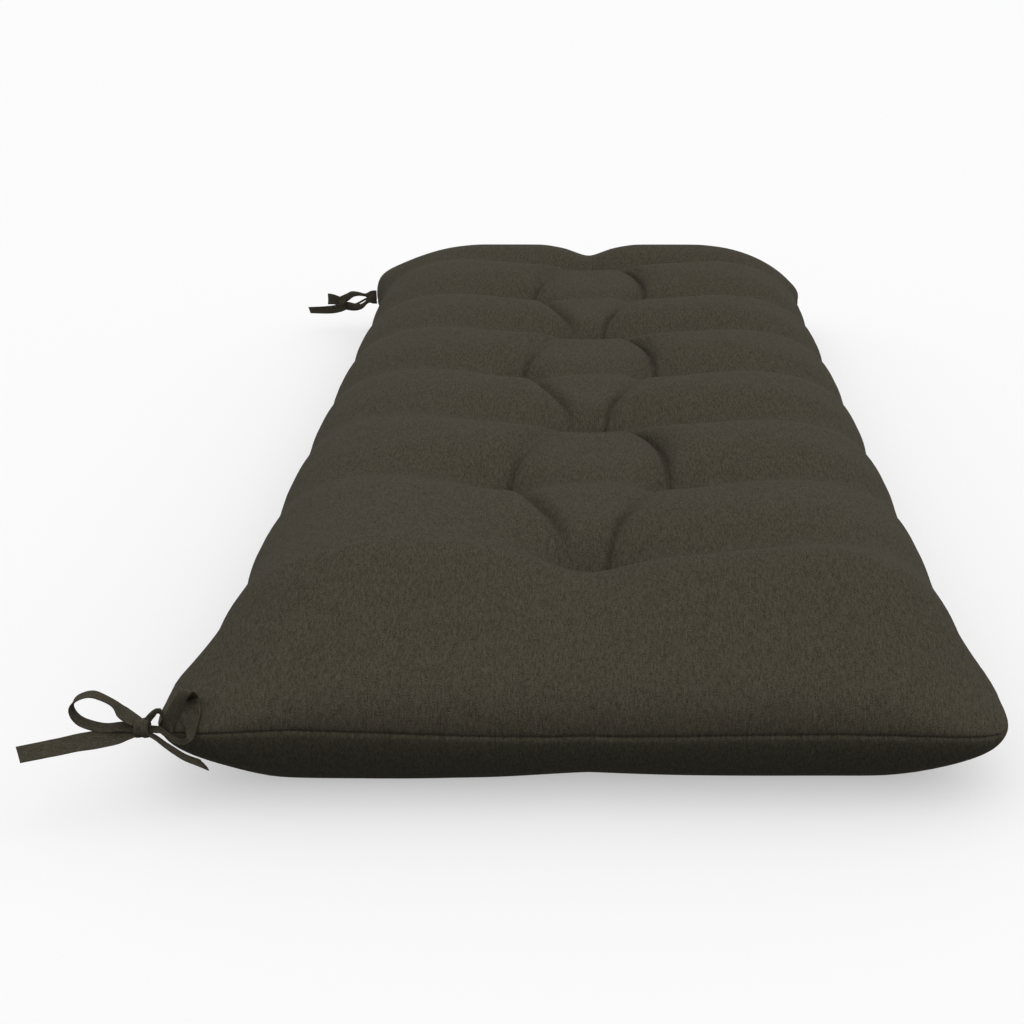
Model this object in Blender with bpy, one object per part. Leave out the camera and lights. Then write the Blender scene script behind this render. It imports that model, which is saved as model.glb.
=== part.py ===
"""A tufted bench cushion with a bow tie at each corner of its back edge.

X runs across the seat, Y along the bench with the photographed end at -Y, and Z up.
The cushion lies on its back on z = 0, and its ties are on the -X side. Metres.

Both panels are one plain rectangle in the making: the functions below take a place on
that rectangle, and give where the sewn and filled cover has it.
"""
import math

import bmesh
import bpy
import numpy as np

# ---- the filled cover ----------------------------------------------------------------
LENGTH = 1.200          # seam to seam along the bench
WIDTH = 0.491           # seam to seam across, between the corners
HALF_L, HALF_W = LENGTH / 2, WIDTH / 2
SEAM_Z = 0.049          # the seam's height above the floor
CROWN_END = 0.078       # rise of the top panel over the seam, in the two end ribs
CROWN_MID = 0.072       # rise of the ribs between
END_RIB = 0.32          # where the end ribs begin to rise over the others, from the middle
END_RIB_EDGE = 0.16
BELLY = 0.061           # how far the lower panel would hang below the seam unpressed
BELLY_RIGHT = 0.93      # share of it on the right half, which is flatter
LEFT_BELLY = -0.13      # where the left half's full belly ends
TOP_EDGE = 0.120        # distance over which the top panel rounds up from the seam
SHOULDER = (0.30, 0.42)  # share of the crown that it gains at once at the near and far end
SHOULDER_EDGE = 0.026   # distance over which it does
SHOULDER_POWER = 3.0    # over 2 makes the shoulder squarer than an ellipse
RAMP_POWER = (1.2, 1.8)  # 1 makes a straight ramp from there to the crown, near and far
BELLY_EDGE = 0.074      # distance over which the lower panel turns under
BELLY_POWER = 1.4       # over 1 makes the lower panel turn under at once
BELLY_CORNER = 1.6      # over 1 makes the corners' undersides full
TINY = 1e-9             # keeps the corner itself from dividing by nothing
CORNER = 0.030          # radius of the sewn corners

# ---- the tufts and the folds between them --------------------------------------------
RIBS = 8                # puffed ribs along the bench, with a sewn row between each two
PITCH = LENGTH / RIBS
PAIR = 0.061            # offset of the paired tufts from the middle line
BAR = 0.012             # half length of a middle tuft, which is a short bar
TUFT_DEPTH = 0.43       # share of the crown that a tuft takes
TUFT_REACH = 0.074
FOLD_REACH = 0.072      # half width of the valley along a sewn row, at its tuft
EDGE_REACH = 0.036      # the same at the side seam
FOLD_POWER = 2.0        # how steeply a valley's sides fall in
ROW_BOW = 0.028         # how far back a row's valley has bent at the side seam
BOW_POWER = 1.3         # how late it bends
SOFT_TUFT = 0.004       # rounding of a valley's bottom at its tuft
SOFT_EDGE = 0.014       # the same at the side seam
CUT_REACH = 0.020       # half width of the sharper folds between tufts
CUT_BOW = ((1.5, 3.2), (1.4, 1.6))  # their bow before and behind a pair, right then left
CUT_SOFT = 0.003        # rounding of their bottom
MID_BAY = 0.8           # how much shallower they are half way
PAIR_FOLD = (0.26, 0.15)  # depth of the fold between a pair's tufts, at the left and right one
MIDDLE_DIP = 0.13       # share of the crown missing between the folds on either side
DIP_BEYOND = 0.025      # how far past those folds the dip still reaches
DIP_EDGE = 0.030        # width of its rim
END_FOLD = 0.30         # depth at the last tuft of the fold from it to the end seam
END_FADE = 1.5
END_PINCH = 0.005       # pull of that fold on the end seam
PINCH_WIDTH = 0.07      # length of end seam that it draws in, each way
BACK_SHARE = 0.45       # depth of the same tufts on the underside
BLEND = 4.0             # power of the sum in which the deepest fold wins

# row, depth of its fold at the tuft, at the right and left side seam, how soon it gets
# shallow to the right and to the left, its pull on the right and left side seam
ROW_FOLDS = (
    (1, 0.38, 0.05, 0.00, 1.1, 5.0, 0.0030, 0.0050),
    (2, 0.29, 0.14, 0.09, 1.1, 2.2, 0.0030, 0.0030),
    (3, 0.38, 0.11, 0.07, 1.1, 2.2, 0.0040, 0.0030),
    (4, 0.29, 0.15, 0.10, 1.1, 2.2, 0.0025, 0.0025),
    (5, 0.38, 0.13, 0.08, 1.1, 2.2, 0.0040, 0.0035),
    (6, 0.30, 0.15, 0.10, 1.1, 2.2, 0.0030, 0.0035),
    (7, 0.38, 0.13, 0.09, 1.1, 2.2, 0.0035, 0.0040),
)
PULL_REACH = 0.065      # length of side seam that a row draws in, each way

# folds from the last tufts to the end seams: row, place of the seam, depth there, rounding
# of the bottom at the tuft and at the seam, reach
END_FOLDS = (
    (1, -HALF_L, 0.05, 0.010, 0.030, 0.095),
    (RIBS - 1, HALF_L, 0.11, 0.006, 0.012, 0.050),
)

# folds from tuft to tuft in the bay behind a row: row, depth on the right at the bay's
# near and far row, then on the left. Where one fades out, its far depth is small.
BAY_FOLDS = (
    (1, 0.24, 0.14, 0.25, 0.24),
    (2, 0.22, 0.25, 0.23, 0.13),
    (3, 0.24, 0.14, 0.25, 0.24),
    (4, 0.22, 0.25, 0.23, 0.12),
    (5, 0.24, 0.14, 0.25, 0.24),
    (6, 0.22, 0.24, 0.23, 0.12),
)

# corner's sign in x and y, reach outward, distance from the end where it starts, is full,
# how much flatter the top panel is there
EARS = (
    (-1, -1, 0.0178, 0.108, 0.072, 0.52),
    (1, -1, 0.0118, 0.110, 0.066, 0.36),
    (-1, 1, 0.0150, 0.150, 0.020, -0.35),
    (1, 1, 0.0130, 0.150, 0.020, 0.10),
)

# the seam of the near end isn't level: place across, rise
NEAR_WAVE = (
    (-0.260, -0.0010), (-0.230, 0.0010), (-0.175, 0.0040), (-0.100, 0.0010),
    (0.000, -0.0025), (0.070, 0.0000), (0.150, 0.0010), (0.220, -0.0010), (0.262, -0.0030),
)
WAVE_START = 0.35       # distance from the middle where that wave begins
SIDE_WAVE = 0.0015      # rise and fall of the side seams with the ribs

# ---- the ties ------------------------------------------------------------------------
RIBBON = 0.013          # width of the tie's tape
RIBBON_THICK = 0.0012
KNOT_RADIUS = 0.0052    # the wrap round the strands
KNOT_LENGTH = 0.0085
KNOT_SIDES = 14
SLANT = 0.0012          # a cut end's lead over its other corner, as half of it
POINTED = 0.004

# Strands start and end inside their knot.
# x, y, z, tilt of the tape's width over the floor in degrees, share of the width
NEAR_KNOT = (-0.2615, -0.6120, 0.0620)
NEAR_LOOP = (
    (-0.2600, -0.6120, 0.0630, 8, 0.50),
    (-0.2680, -0.6105, 0.0664, 8, 0.95),
    (-0.2735, -0.6095, 0.0708, 8, 1.00),
    (-0.2785, -0.6088, 0.0760, 6, 0.55),
    (-0.2895, -0.6080, 0.0812, 2, 0.66),
    (-0.2990, -0.6075, 0.0785, 0, 0.74),
    (-0.3030, -0.6070, 0.0718, 0, 0.76),
    (-0.2980, -0.6080, 0.0645, 4, 0.78),
    (-0.2860, -0.6090, 0.0610, 8, 0.72),
    (-0.2730, -0.6110, 0.0628, 8, 0.72),
    (-0.2600, -0.6120, 0.0615, 8, 0.50),
)
NEAR_LONG_END = (
    (-0.2600, -0.6120, 0.0610, 20, 0.50),
    (-0.2690, -0.6135, 0.0594, 28, 0.85),
    (-0.2790, -0.6150, 0.0574, 31, 1.00),
    (-0.3040, -0.6200, 0.0544, 31, 0.95),
    (-0.3315, -0.6250, 0.0506, 31, 0.92),
)
NEAR_SHORT_END = (
    (-0.2620, -0.6120, 0.0605, -5, 0.40),
    (-0.2545, -0.6125, 0.0566, -5, 0.42),
    (-0.2480, -0.6110, 0.0500, -5, 0.48),
    (-0.2400, -0.6062, 0.0404, -5, 0.55),
    (-0.2305, -0.6012, 0.0325, -5, 0.62),
)
NEAR_LEAD = (
    (-0.2610, -0.6120, 0.0625, 120, 0.42),
    (-0.2562, -0.6100, 0.0680, 125, 0.55),
    (-0.2526, -0.6075, 0.0698, 135, 0.50),
    (-0.2506, -0.6040, 0.0630, 150, 0.50),
)
# the same strap standing over the corner: x, y, z, width's direction, share of it
NEAR_RISE = (
    (-0.2514, -0.6000, 0.0536, -0.60, -0.35, 0.70, 0.74),
    (-0.2481, -0.5990, 0.0597, -0.50, -0.60, 0.60, 0.90),
    (-0.2444, -0.5960, 0.0668, -0.48, -0.64, 0.60, 0.88),
    (-0.2413, -0.5930, 0.0732, -0.52, -0.60, 0.58, 0.70),
    (-0.2399, -0.5890, 0.0749, -0.80, -0.35, 0.40, 0.58),
    (-0.2394, -0.5840, 0.0695, -0.95, -0.20, 0.10, 0.80),
)
# coming down on the cover: x, y on its rectangle, clearance, share of the width
NEAR_DOWN = (
    (-0.2292, -0.5770, 0.0040, 1.00),
    (-0.2276, -0.5890, 0.0016, 1.00),
    (-0.2275, -0.5985, 0.0022, 0.60),
)
# and back to the knot under the seam, as for the rise
NEAR_RETURN = (
    (-0.2368, -0.6040, 0.0504, -0.50, 0.20, 0.80, 0.30),
    (-0.2416, -0.6045, 0.0487, -0.30, 0.05, 0.95, 0.30),
    (-0.2462, -0.6065, 0.0517, -0.36, 0.00, 0.93, 0.30),
    (-0.2502, -0.6100, 0.0575, -0.48, 0.00, 0.88, 0.32),
    (-0.2536, -0.6120, 0.0612, -0.50, 0.00, 0.87, 0.36),
    (-0.2620, -0.6120, 0.0615, -0.50, 0.00, 0.87, 0.42),
)
FAR_KNOT = (-0.3030, 0.5675, 0.0384)
FAR_LOOP = (
    (-0.3002, 0.5652, 0.0383, 90, 0.78),
    (-0.3072, 0.5638, 0.0418, 88, 0.86),
    (-0.3137, 0.5625, 0.0443, 86, 0.94),
    (-0.3181, 0.5637, 0.0446, 80, 1.00),
    (-0.3203, 0.5667, 0.0437, 80, 1.02),
    (-0.3191, 0.5697, 0.0427, 82, 1.00),
    (-0.3119, 0.5708, 0.0412, 88, 0.88),
    (-0.3008, 0.5700, 0.0378, 90, 0.76),
)
FAR_LONG_END = (
    (-0.2988, 0.5632, 0.0356, 90, 0.66),
    (-0.3061, 0.5614, 0.0336, 88, 0.76),
    (-0.3159, 0.5605, 0.0320, 86, 0.76),
    (-0.3292, 0.5592, 0.0317, 86, 0.68),
    (-0.3433, 0.5585, 0.0317, 86, 0.60),
)
FAR_UPPER = (
    (-0.3066, 0.5685, 0.0419, 90, 0.60),
    (-0.2983, 0.5676, 0.0453, 80, 0.70),
    (-0.2916, 0.5650, 0.0498, 78, 0.60),
    (-0.2834, 0.5638, 0.0507, 82, 0.40),
    (-0.2753, 0.5624, 0.0496, 88, 0.30),
    (-0.2702, 0.5606, 0.0495, 90, 0.62),
    (-0.2651, 0.5596, 0.0503, 90, 0.84),
    (-0.2600, 0.5590, 0.0504, 90, 0.88),
)
FAR_LOWER = (
    (-0.3066, 0.5668, 0.0373, 90, 0.66),
    (-0.2967, 0.5655, 0.0351, 88, 0.80),
    (-0.2877, 0.5628, 0.0344, 84, 0.70),
    (-0.2801, 0.5610, 0.0357, 78, 0.50),
    (-0.2734, 0.5592, 0.0410, 80, 0.34),
    (-0.2694, 0.5578, 0.0444, 88, 0.60),
    (-0.2650, 0.5566, 0.0455, 90, 0.84),
    (-0.2598, 0.5560, 0.0459, 90, 0.88),
)
FAR_MIDDLE = (
    (-0.2916, 0.5645, 0.0356, 80, 0.26),
    (-0.2852, 0.5640, 0.0385, 70, 0.22),
    (-0.2788, 0.5628, 0.0420, 70, 0.20),
    (-0.2723, 0.5612, 0.0456, 75, 0.20),
    (-0.2671, 0.5598, 0.0471, 90, 0.30),
)


# ---- the form of the cover -----------------------------------------------------------
def ease(t):
    t = np.clip(t, 0, 1)
    return t * t * (3 - 2 * t)


def mix(a, b, t):
    return a + (b - a) * t


def row_place(row):
    return -HALF_L + row * PITCH


def round_up(distance, reach):
    """A quarter ellipse: 0 on the seam, 1 where the panel has reached its height."""
    t = 1 - np.clip(distance, 0, reach) / reach
    return np.sqrt(np.maximum(1 - t * t, 0))


def tufts():
    """Rows with one tuft in the middle take turns with rows of a pair."""
    places = []
    for row, *_ in ROW_FOLDS:
        across = (0.0,) if row % 2 else (-PAIR, PAIR)
        places += [(x, row_place(row)) for x in across]
    return places


def straight_folds():
    """Each as two rows of x, y, depth, softness, reach, then how soon it fades."""
    lines = []
    for row, depth, right, left, fade_right, fade_left, _, _ in ROW_FOLDS:
        y = row_place(row)
        start = 0.0 if row % 2 else PAIR
        for side, edge, fade in ((1, right, fade_right), (-1, left, fade_left)):
            tuft = (side * start, y, depth, SOFT_TUFT, FOLD_REACH)
            lines.append((tuft, (side * HALF_W, y, edge, SOFT_EDGE, EDGE_REACH), fade))
        if row % 2 == 0:
            left, right = zip((-PAIR, PAIR), PAIR_FOLD)
            lines.append(((left[0], y, left[1], SOFT_TUFT, FOLD_REACH),
                          (right[0], y, right[1], SOFT_TUFT, FOLD_REACH), 1.0))
    for row, y, edge, soft_tuft, soft_edge, reach in END_FOLDS:
        tuft = (0.0, row_place(row), END_FOLD, soft_tuft, reach)
        lines.append((tuft, (0.0, y, edge, soft_edge, reach), END_FADE))
    return lines


def cut_place(x, y):
    """Distance of the folds between tufts from the middle line: they bow out behind a pair."""
    part = (np.clip((y + HALF_L) / PITCH, 1, RIBS - 1) - 1) % 2
    (out_right, in_right), (out_left, in_left) = CUT_BOW
    outward = np.clip(part, 0, 1) ** np.where(x >= 0, out_right, out_left)
    inward = 1 - np.clip(part - 1, 0, 1) ** np.where(x >= 0, in_right, in_left)
    return BAR + (PAIR - BAR) * np.where(part < 1, outward, inward)


def cut_depth(x, y):
    depth = np.zeros_like(y)
    for row, right_near, right_far, left_near, left_far in BAY_FOLDS:
        t = (y + HALF_L) / PITCH - row
        near = np.where(x >= 0, right_near, left_near)
        far = np.where(x >= 0, right_far, left_far)
        shallower = 1 - MID_BAY * t * (1 - t)
        depth = np.where((t >= 0) & (t <= 1), (near + (far - near) * t) * shallower, depth)
    return depth


def row_bow(x):
    """How far back the rows' folds have bent, from the pairs of tufts to the side seam."""
    return ROW_BOW * (np.maximum(np.abs(x) - PAIR, 0) / (HALF_W - PAIR)) ** BOW_POWER


def fall(x, y):
    """Share of the crown that tufts and folds take at each place."""
    total = np.zeros_like(x)
    for tx, ty in tufts():
        beside = np.maximum(np.abs(x - tx) - (BAR if tx == 0 else 0), 0)
        away = np.hypot(beside, y - ty)
        total += (TUFT_DEPTH * np.clip(1 - away / TUFT_REACH, 0, 1) ** 2) ** BLEND
    bent = y - row_bow(x)
    for first, last, fade in straight_folds():
        x0, y0, start = first[:3]
        ux, uy = last[0] - x0, last[1] - y0
        t = np.clip(((x - x0) * ux + (bent - y0) * uy) / (ux * ux + uy * uy), 0, 1)
        end, soft, reach = last[2], mix(first[3], last[3], t), mix(first[4], last[4], t)
        away = np.sqrt((x - x0 - t * ux) ** 2 + (bent - y0 - t * uy) ** 2 + soft ** 2) - soft
        depth = end + (start - end) * (1 - t) ** fade
        total += (depth * np.clip(1 - away / reach, 0, 1) ** FOLD_POWER) ** BLEND
    step = 0.002
    slope = (cut_place(x, y + step) - cut_place(x, y - step)) / (2 * step)
    away = np.abs(np.abs(x) - cut_place(x, y)) / np.sqrt(1 + slope ** 2)
    away = np.sqrt(away ** 2 + CUT_SOFT ** 2) - CUT_SOFT
    total += (cut_depth(x, y) * np.clip(1 - away / CUT_REACH, 0, 1) ** 2) ** BLEND
    inside = ease((cut_place(x, y) + DIP_BEYOND - np.abs(x)) / DIP_EDGE)
    between_rows = ease((row_place(RIBS - 1) - np.abs(y)) / DIP_EDGE)
    total += (MIDDLE_DIP * inside * between_rows) ** BLEND
    return total ** (1 / BLEND)


def flare(x, y, ear):
    """How far along the end an ear has opened, in its own corner only."""
    sign_x, sign_y, _, start, full, _ = ear
    here = (np.sign(x) == sign_x) & (np.sign(y) == sign_y)
    return here * ease((start - (HALF_L - np.abs(y))) / (start - full))


def plan(x, y):
    """Corners rounded and flared, sides drawn in at each row, ends at their middle."""
    p = np.clip((np.abs(x) - (HALF_W - CORNER)) / CORNER, 0, 1)
    q = np.clip((np.abs(y) - (HALF_L - CORNER)) / CORNER, 0, 1)
    round_x = HALF_W - CORNER + CORNER * p * np.sqrt(1 - q * q / 2)
    round_y = HALF_L - CORNER + CORNER * q * np.sqrt(1 - p * p / 2)
    px = np.where(p > 0, np.sign(x) * round_x, x)
    py = np.where(q > 0, np.sign(y) * round_y, y)
    side = (np.abs(x) / HALF_W) ** 2
    for ear in EARS:
        px = px + ear[0] * ear[2] * side ** 3 * flare(x, y, ear)
    for row, *_, right, left in ROW_FOLDS:
        away = np.clip((y - row_place(row) - ROW_BOW) / PULL_REACH, -1, 1)
        px = px - np.sign(x) * side * np.where(x > 0, right, left) * (1 - away ** 2) ** 2
    end = np.clip(1 - (HALF_L - np.abs(y)) / PITCH, 0, 1) ** 2
    middle = np.clip(1 - np.abs(x) / PINCH_WIDTH, 0, 1) ** 2
    return px, py - np.sign(y) * end * END_PINCH * middle


def seam_height(x, y):
    near = ease((-y - WAVE_START) / (HALF_L - WAVE_START))
    wave = np.interp(x, [place for place, _ in NEAR_WAVE], [rise for _, rise in NEAR_WAVE])
    ribs = SIDE_WAVE * np.cos(2 * math.pi * (y + HALF_L - ROW_BOW) / PITCH)
    return SEAM_Z + wave * near + ribs * (1 - near)


def end_rise(y):
    """The top panel's rise from an end seam: a quick shoulder, then a steady ramp."""
    distance = HALF_L - np.abs(y)
    t = 1 - np.clip(distance, 0, SHOULDER_EDGE) / SHOULDER_EDGE
    shoulder = (1 - t ** SHOULDER_POWER) ** (1 / SHOULDER_POWER)
    bend = np.where(y < 0, *RAMP_POWER)
    ramp = 1 - (1 - np.clip(distance, 0, TOP_EDGE) / TOP_EDGE) ** bend
    share = np.where(y < 0, *SHOULDER)
    return share * shoulder + (1 - share) * ramp


def top_height(x, y):
    crown = CROWN_MID + (CROWN_END - CROWN_MID) * ease((np.abs(y) - END_RIB) / END_RIB_EDGE)
    share = round_up(HALF_W - np.abs(x), TOP_EDGE) * end_rise(y)
    for ear in EARS:
        share = share ** (1 + ear[5] * flare(x, y, ear) * (np.abs(x) / HALF_W) ** 4)
    base = seam_height(x, y) * (1 - share) + SEAM_Z * share
    return base + crown * share * (1 - fall(x, y))


def under_height(x, y):
    across = round_up(HALF_W - np.abs(x), BELLY_EDGE)
    along = round_up(HALF_L - np.abs(y), BELLY_EDGE)
    both = across ** BELLY_CORNER + along ** BELLY_CORNER - (across * along) ** BELLY_CORNER
    share = (across * along / np.maximum(both, TINY) ** (1 / BELLY_CORNER)) ** BELLY_POWER
    base = seam_height(x, y) * (1 - share) + SEAM_Z * share
    to_right = ease((x - LEFT_BELLY) / (0 - LEFT_BELLY)) * ease((HALF_W - x) / BELLY_EDGE)
    flatter = (1 - BELLY_RIGHT) * to_right
    hang = BELLY * share * (1 - BACK_SHARE * fall(x, y)) * (1 - flatter)
    return np.maximum(base - hang, 0.0)


def cover_point(x, y):
    """A place on the top panel, and the way straight out of it."""
    def at(u, v):
        u, v = np.array(u), np.array(v)
        return np.array([*plan(u, v), top_height(u, v)], dtype=float)
    step = 0.001
    out = np.cross(at(x + step, y) - at(x - step, y), at(x, y + step) - at(x, y - step))
    return at(x, y), out / np.linalg.norm(out)


# ---- the cushion's mesh --------------------------------------------------------------
TURN = [TOP_EDGE * (1 - math.cos(math.radians(a))) for a in (0, 15, 29, 43, 57, 72)]
INNER_LINE = 0.137      # grid lines farther out than this stay straight


def lines_across():
    """Grid lines over the width, close where the panel turns to the seam."""
    half = [HALF_W - d for d in TURN] + [INNER_LINE, 0.112, 0.090, 0.074, PAIR, 0.043, 0.021]
    return [-v for v in half] + [0.0] + half[::-1]


def lines_along():
    """Grid lines over the length, close at the ends and at each sewn row."""
    end = [-HALF_L + d for d in TURN + [0.105, 0.125, 0.140]]
    lines = list(end)
    for rib in range(1, RIBS - 1):
        lines += [row_place(rib) + f * PITCH for f in (0.0, 0.09, 0.22, 0.38, 0.56, 0.74, 0.90)]
    return lines + [row_place(RIBS - 1)] + [-v for v in end[::-1]]


def follow_cuts(x, y):
    """Shift the inner grid lines so that one of them runs in the folds between tufts."""
    line = cut_place(x, y)
    size = np.abs(x)
    outer = INNER_LINE - (INNER_LINE - size) * (INNER_LINE - line) / (INNER_LINE - PAIR)
    moved = np.where(size <= PAIR, size * line / PAIR, outer)
    return np.sign(x) * np.where(size < INNER_LINE, moved, size)


def add_panel(work, height):
    """One panel: Blender's grid, laid on the grid lines and given its form."""
    xs, ys = lines_across(), lines_along()
    made = bmesh.ops.create_grid(work, x_segments=len(xs) - 1, y_segments=len(ys) - 1, size=1)
    across = [xs[round((v.co.x + 1) / 2 * (len(xs) - 1))] for v in made["verts"]]
    along = [ys[round((v.co.y + 1) / 2 * (len(ys) - 1))] for v in made["verts"]]
    x, y = np.array(across), np.array(along)
    x = follow_cuts(x, y)
    px, py = plan(x, y)
    for vert, place in zip(made["verts"], zip(px, py, height(x, y))):
        vert.co = place


def finish(name, work, look):
    """Close the mesh, face it outwards and put it in the scene as an object."""
    bmesh.ops.recalc_face_normals(work, faces=work.faces)
    mesh = bpy.data.meshes.new(name)
    work.to_mesh(mesh)
    work.free()
    mesh.shade_smooth()
    mesh.materials.append(look)
    made = bpy.data.objects.new(name, mesh)
    bpy.context.scene.collection.objects.link(made)
    return made


def make_cushion(look):
    work = bmesh.new()
    add_panel(work, top_height)
    add_panel(work, under_height)
    bmesh.ops.remove_doubles(work, verts=work.verts, dist=0.00001)
    return finish("cushion", work, look)


# ---- the ties' meshes ----------------------------------------------------------------
def tilted(table):
    """A table with a tilt -> rows of x, y, z, the width's direction, share of the width."""
    rows = []
    for x, y, z, tilt, share in table:
        angle = math.radians(tilt)
        rows.append((x, y, z, 0.0, math.cos(angle), math.sin(angle), share))
    return rows


def right_loop():
    """The bow's other loop: it stands over the near corner and comes down on the cover."""
    rows = tilted(NEAR_LEAD) + list(NEAR_RISE)
    spots, ways = [], []
    for x, y, clear, _ in NEAR_DOWN:
        spot, out = cover_point(x, y)
        spots.append(spot + out * clear)
        ways.append(out)
    for k, (*_, share) in enumerate(NEAR_DOWN):
        along = spots[min(k + 1, len(spots) - 1)] - spots[max(k - 1, 0)]
        across = np.cross(along, ways[k])
        rows.append((*spots[k], *(across / np.linalg.norm(across)), share))
    return rows + list(NEAR_RETURN)


def smooth_path(table, samples):
    """Rows at even steps on a smooth curve through the table's rows."""
    rows = np.array(table, dtype=float)
    steps = np.r_[0, np.cumsum(np.linalg.norm(np.diff(rows[:, :3], axis=0), axis=1))]
    rows = np.vstack([2 * rows[0] - rows[1], rows, 2 * rows[-1] - rows[-2]])
    path = []
    for s in np.linspace(0, steps[-1], samples):
        k = min(int(np.searchsorted(steps, s, side="right")) - 1, len(steps) - 2)
        t = (s - steps[k]) / (steps[k + 1] - steps[k])
        a, b, c, d = rows[k:k + 4]
        square, cube = 2 * a - 5 * b + 4 * c - d, 3 * b - a - 3 * c + d
        path.append(0.5 * (2 * b + (c - a) * t + square * t ** 2 + cube * t ** 3))
    return np.array(path)


def bridge(work, rings):
    """Skin the rings in turn, and close the first and the last with a face."""
    size = len(rings[0])
    for ring, following in zip(rings, rings[1:]):
        for k in range(size):
            other = (k + 1) % size
            work.faces.new((ring[k], ring[other], following[other], following[k]))
    work.faces.new(rings[0][::-1])
    work.faces.new(rings[-1])


def ribbon(name, rows, samples, slant, look):
    """A flat tape along a path, its far end cut at a slant."""
    path = smooth_path(rows, samples)
    work = bmesh.new()
    rings = []
    for k, row in enumerate(path):
        along = path[min(k + 1, samples - 1), :3] - path[max(k - 1, 0), :3]
        along /= np.linalg.norm(along)
        across = row[3:6] - along * along.dot(row[3:6])
        across /= np.linalg.norm(across)
        up = np.cross(along, across) * RIBBON_THICK / 2
        half = across * RIBBON * row[6] / 2
        lead = along * (slant if k == samples - 1 else 0.0)
        edges = ((-1, -1), (1, -1), (1, 1), (-1, 1))
        rings.append([work.verts.new(row[:3] + s * (half + lead) + r * up) for s, r in edges])
    bridge(work, rings)
    return finish(name, work, look)


def knot(name, centre, look):
    """The wrap round the strands: a short drum along X with rounded rims."""
    work = bmesh.new()
    rings = []
    for along, share in ((-0.5, 0.60), (-0.36, 0.92), (0.0, 1.0), (0.36, 0.92), (0.5, 0.60)):
        ring = []
        for k in range(KNOT_SIDES):
            turn = 2 * math.pi * k / KNOT_SIDES
            y, z = KNOT_RADIUS * share * math.cos(turn), KNOT_RADIUS * share * math.sin(turn)
            ring.append(work.verts.new((centre[0] + along * KNOT_LENGTH, centre[1] + y, centre[2] + z)))
        rings.append(ring)
    bridge(work, rings)
    return finish(name, work, look)


def make_tie(name, centre, strands, look):
    """A tied bow: its strands and its knot, fused into one piece of tape."""
    tie = knot(name, centre, look)
    for number, (rows, samples, slant) in enumerate(strands):
        strand = ribbon(f"{name}_{number}", rows, samples, slant, look)
        step = tie.modifiers.new(strand.name, "BOOLEAN")
        step.operation, step.solver, step.object = "UNION", "EXACT", strand
    fused = bpy.data.meshes.new_from_object(tie.evaluated_get(bpy.context.evaluated_depsgraph_get()))
    for step in list(tie.modifiers):
        bpy.data.objects.remove(step.object)
    tie.modifiers.clear()
    tie.data = fused
    return tie


def material(name, colour):
    made = bpy.data.materials.new(name)
    made.use_nodes = True
    surface = made.node_tree.nodes["Principled BSDF"]
    surface.inputs["Base Color"].default_value = colour
    surface.inputs["Roughness"].default_value = 0.9
    return made


def main():
    for old in list(bpy.data.objects):
        bpy.data.objects.remove(old)
    cloth = material("dark woven cloth", (0.055, 0.050, 0.039, 1))
    tape = material("tie tape", (0.050, 0.046, 0.036, 1))
    make_cushion(cloth)
    make_tie("front_tie", NEAR_KNOT, (
        (tilted(NEAR_LOOP), 24, 0.0),
        (tilted(NEAR_LONG_END), 12, SLANT),
        (tilted(NEAR_SHORT_END), 11, -POINTED),
        (right_loop(), 44, 0.0),
    ), tape)
    make_tie("back_tie", FAR_KNOT, (
        (tilted(FAR_LOOP), 22, 0.0),
        (tilted(FAR_LONG_END), 11, SLANT),
        (tilted(FAR_UPPER), 16, 0.0),
        (tilted(FAR_LOWER), 16, 0.0),
        (tilted(FAR_MIDDLE), 8, 0.0),
    ), tape)


main()
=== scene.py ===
# %% [markdown]
# # A tufted bench cushion
# The object is a long seat cushion of dark woven cloth, lying flat. Two panels are sewn
# together round the edge and filled, rows of tufts pull both panels together, and a tape
# bow hangs at each end of one long edge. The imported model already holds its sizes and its
# main form as a coarse closed mesh. This script loads that model as a fixed frame and
# dresses it: a fine cover with seams, folds and puckers, real tape for the bows, and cloth.

# %% Load the frame
import math

import bmesh
import bpy
import numpy as np
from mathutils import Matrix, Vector, noise


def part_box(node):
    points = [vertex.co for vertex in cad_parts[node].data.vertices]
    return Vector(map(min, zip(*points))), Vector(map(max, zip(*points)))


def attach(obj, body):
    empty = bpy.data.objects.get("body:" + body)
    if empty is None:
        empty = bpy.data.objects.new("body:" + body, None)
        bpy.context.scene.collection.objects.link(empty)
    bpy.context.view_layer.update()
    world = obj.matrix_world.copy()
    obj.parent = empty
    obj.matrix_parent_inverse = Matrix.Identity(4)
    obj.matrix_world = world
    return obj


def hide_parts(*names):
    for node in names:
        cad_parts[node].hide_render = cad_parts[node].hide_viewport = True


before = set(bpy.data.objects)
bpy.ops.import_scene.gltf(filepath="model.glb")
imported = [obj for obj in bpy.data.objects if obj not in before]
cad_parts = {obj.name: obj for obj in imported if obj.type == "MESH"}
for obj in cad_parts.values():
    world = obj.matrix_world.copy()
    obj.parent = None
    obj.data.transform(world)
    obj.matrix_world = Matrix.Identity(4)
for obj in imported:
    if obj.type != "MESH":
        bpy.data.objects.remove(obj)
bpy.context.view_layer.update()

# %% [markdown]
# ## The camera
# The photograph looks along the bench from its near end, from about half a metre up. Its
# perspective gives the lens and the tilt. The cushion stands a little right of the middle
# of the picture, which a shift of the lens reproduces without turning the camera.

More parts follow.
